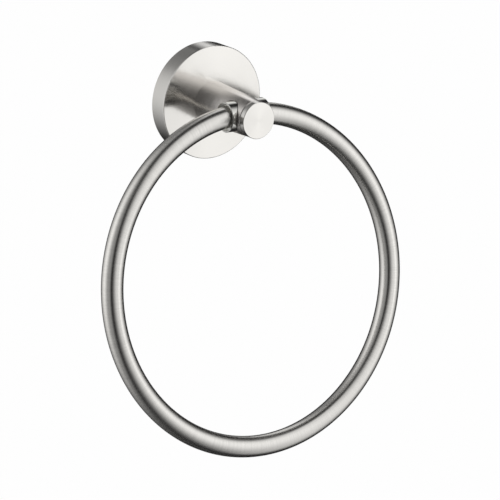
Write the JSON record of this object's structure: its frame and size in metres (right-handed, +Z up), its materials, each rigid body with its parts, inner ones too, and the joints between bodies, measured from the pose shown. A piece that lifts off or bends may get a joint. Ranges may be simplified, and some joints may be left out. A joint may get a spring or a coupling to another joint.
{
  "type": "towel ring",
  "caption": "Wall-mounted towel ring: a round tube ring swings in a bore across a tapered post that stands on a round flat rose.",
  "frame": {"origin": "on the wall plane, where the post's axis meets the wall", "axes": "+Y into the wall, along the post's axis; +Z up; +X to the right for someone facing the wall; the ring stands out on the -Y side"},
  "size_m": [0.165, 0.0718, 0.1833],
  "materials": {
    "brushed_stainless": "fine satin brushing round the tube and across the flat faces",
    "polished_stainless": "turned and polished bright",
    "plated_steel": "turned steel, bright zinc plated",
    "screw_steel": "plain stainless screw steel"
  },
  "bodies": {
    "wall_mount": {"wall_bracket": "plated_steel", "rose": "brushed_stainless", "rose_set_screw": "screw_steel", "post": "brushed_stainless", "post_screw": "screw_steel", "lock_washer": "screw_steel", "end_cap": "brushed_stainless"},
    "swing_ring": {"swivel_barrel": "polished_stainless", "ring": "brushed_stainless"}
  },
  "joints": [
    {"name": "ring_swing", "type": "hinge", "parent": "wall_mount", "child": "swing_ring", "pos_m": [0, -0.036, 0], "axis": [-1, 0, 0], "range_deg": [-23, 180]}
  ]
}
